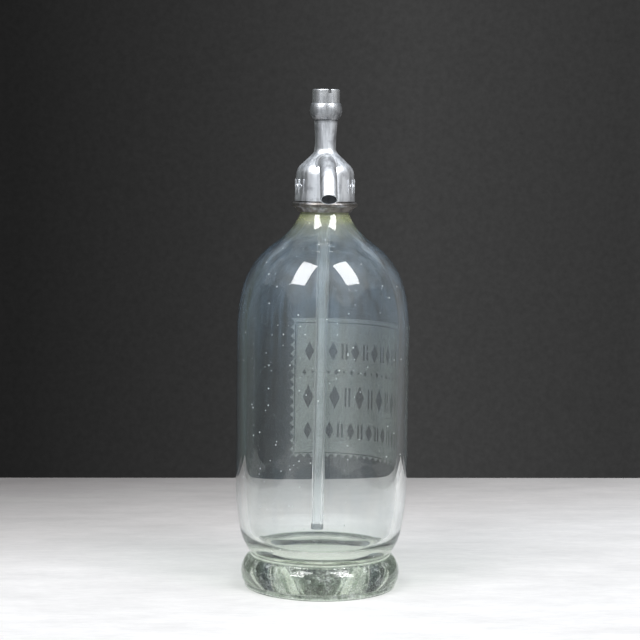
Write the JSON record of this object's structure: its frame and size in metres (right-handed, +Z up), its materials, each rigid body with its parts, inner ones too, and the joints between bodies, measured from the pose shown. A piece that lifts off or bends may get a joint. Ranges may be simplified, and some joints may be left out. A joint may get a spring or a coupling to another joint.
{
  "type": "soda siphon",
  "caption": "Soda siphon: thick glass pressure bottle on a moulded foot, cast metal head with a bent spout, and a lever that lifts a sprung valve above a glass dip tube.",
  "frame": {"origin": "centre of the foot, on the surface that the bottle stands on", "axes": "+Z up along the bottle's axis; the spout points to -Y and the lever to +Y; +X is to the right when the spout faces the viewer"},
  "size_m": [0.102, 0.102, 0.2946],
  "materials": {
    "clear_glass": "thick clear old glass with a faint green cast, fine wear and a frosted rear panel",
    "tube_glass": "drawn clear glass tube",
    "cast_pewter": "bright worn pewter, dented and scratched",
    "collar_metal": "bright worn pewter, darker under the bead",
    "inner_brass": "plain turned brass",
    "black_rubber": "dull black rubber",
    "spring_steel": "drawn steel"
  },
  "bodies": {
    "siphon": {"bottle": "clear_glass", "dip_tube": "tube_glass", "lip_gasket": "black_rubber", "tube_washer": "black_rubber", "collar_ring": "collar_metal", "split_ring_left": "inner_brass", "split_ring_right": "inner_brass", "head_body": "cast_pewter", "spout": "cast_pewter", "valve_seat": "inner_brass", "valve_spring": "spring_steel", "spring_bush": "inner_brass", "lever_pin": "spring_steel", "top_cap": "cast_pewter"},
    "lever": {"lever": "cast_pewter"},
    "valve": {"valve_stem": "inner_brass", "valve_disc": "black_rubber", "stem_nut": "inner_brass", "piston_washer_lower": "inner_brass", "piston_packing": "black_rubber", "piston_washer_upper": "inner_brass"}
  },
  "joints": [
    {"name": "lever_press", "type": "hinge", "parent": "siphon", "child": "lever", "pos_m": [0, 0.0056, 0.2812], "axis": [-1, 0, 0], "range_deg": [0, 22], "stiffness_Nm_per_rad": 0.12, "springref_deg": -51.57},
    {"name": "valve_lift", "type": "slide", "parent": "siphon", "child": "valve", "axis": [0, 0, 1], "range_m": [0, 0.0022], "deforming": ["valve_spring"]}
  ],
  "couplings": [
    {"joint": "valve_lift", "follows": "lever_press", "m_per_rad": 0.0056}
  ]
}
